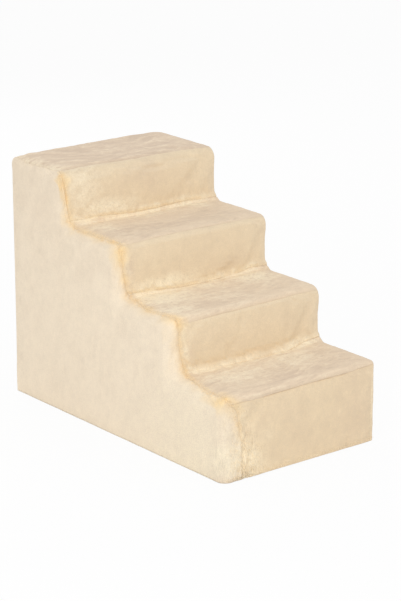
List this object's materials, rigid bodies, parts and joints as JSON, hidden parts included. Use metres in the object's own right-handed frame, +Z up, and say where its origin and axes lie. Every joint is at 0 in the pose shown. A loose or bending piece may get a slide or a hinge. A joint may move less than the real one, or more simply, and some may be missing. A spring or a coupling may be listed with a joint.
{
  "type": "pet stairs",
  "caption": "Foam pet stairs with rounded steps in a fitted plush cover, closed at the back by a zip with a sliding pull.",
  "frame": {"origin": "middle of the footprint on the floor, half way across the width and half way from the front to the back of the cover", "axes": "X runs across the steps with the seam that turns onto the front at -X, -Y is the low front step, +Y the tall back, +Z up"},
  "size_m": [0.39, 0.7026, 0.51],
  "materials": {
    "foam": "matte open-cell foam",
    "tread_plush": "short-pile plush",
    "riser_plush": "short-pile plush",
    "side_plush": "short-pile plush",
    "grip_fabric": "matte non-slip fabric with grip dots",
    "zip_tape": "woven tape",
    "zip_teeth": "satin moulded plastic",
    "zip_metal": "satin metal"
  },
  "bodies": {
    "stairs": {"foam_slab_1": "foam", "foam_slab_2": "foam", "foam_slab_3": "foam", "foam_slab_4": "foam", "riser_cover_1": "riser_plush", "riser_cover_2": "riser_plush", "riser_cover_3": "riser_plush", "riser_cover_4": "riser_plush", "tread_cover_1": "tread_plush", "tread_cover_2": "tread_plush", "tread_cover_3": "tread_plush", "tread_cover_4": "tread_plush", "side_cover_left": "side_plush", "side_cover_right": "side_plush", "back_cover": "side_plush", "back_border": "side_plush", "grip_base": "grip_fabric", "zip_tape_border": "zip_tape", "zip_tape_flap": "zip_tape", "zip_teeth_border": "zip_teeth", "zip_teeth_flap": "zip_teeth", "zip_stops": "zip_metal"},
    "slider": {"zip_slider": "zip_metal"},
    "pull": {"zip_pull": "zip_metal"}
  },
  "joints": [
    {"name": "zip_slide", "type": "slide", "parent": "stairs", "child": "slider", "axis": [0, 0, -1], "range_m": [0, 0.409]},
    {"name": "pull_swing", "type": "hinge", "parent": "slider", "child": "pull", "pos_m": [-0.148, 0.3504, 0.48624], "axis": [1, 0, 0], "range_deg": [0, 165]}
  ]
}
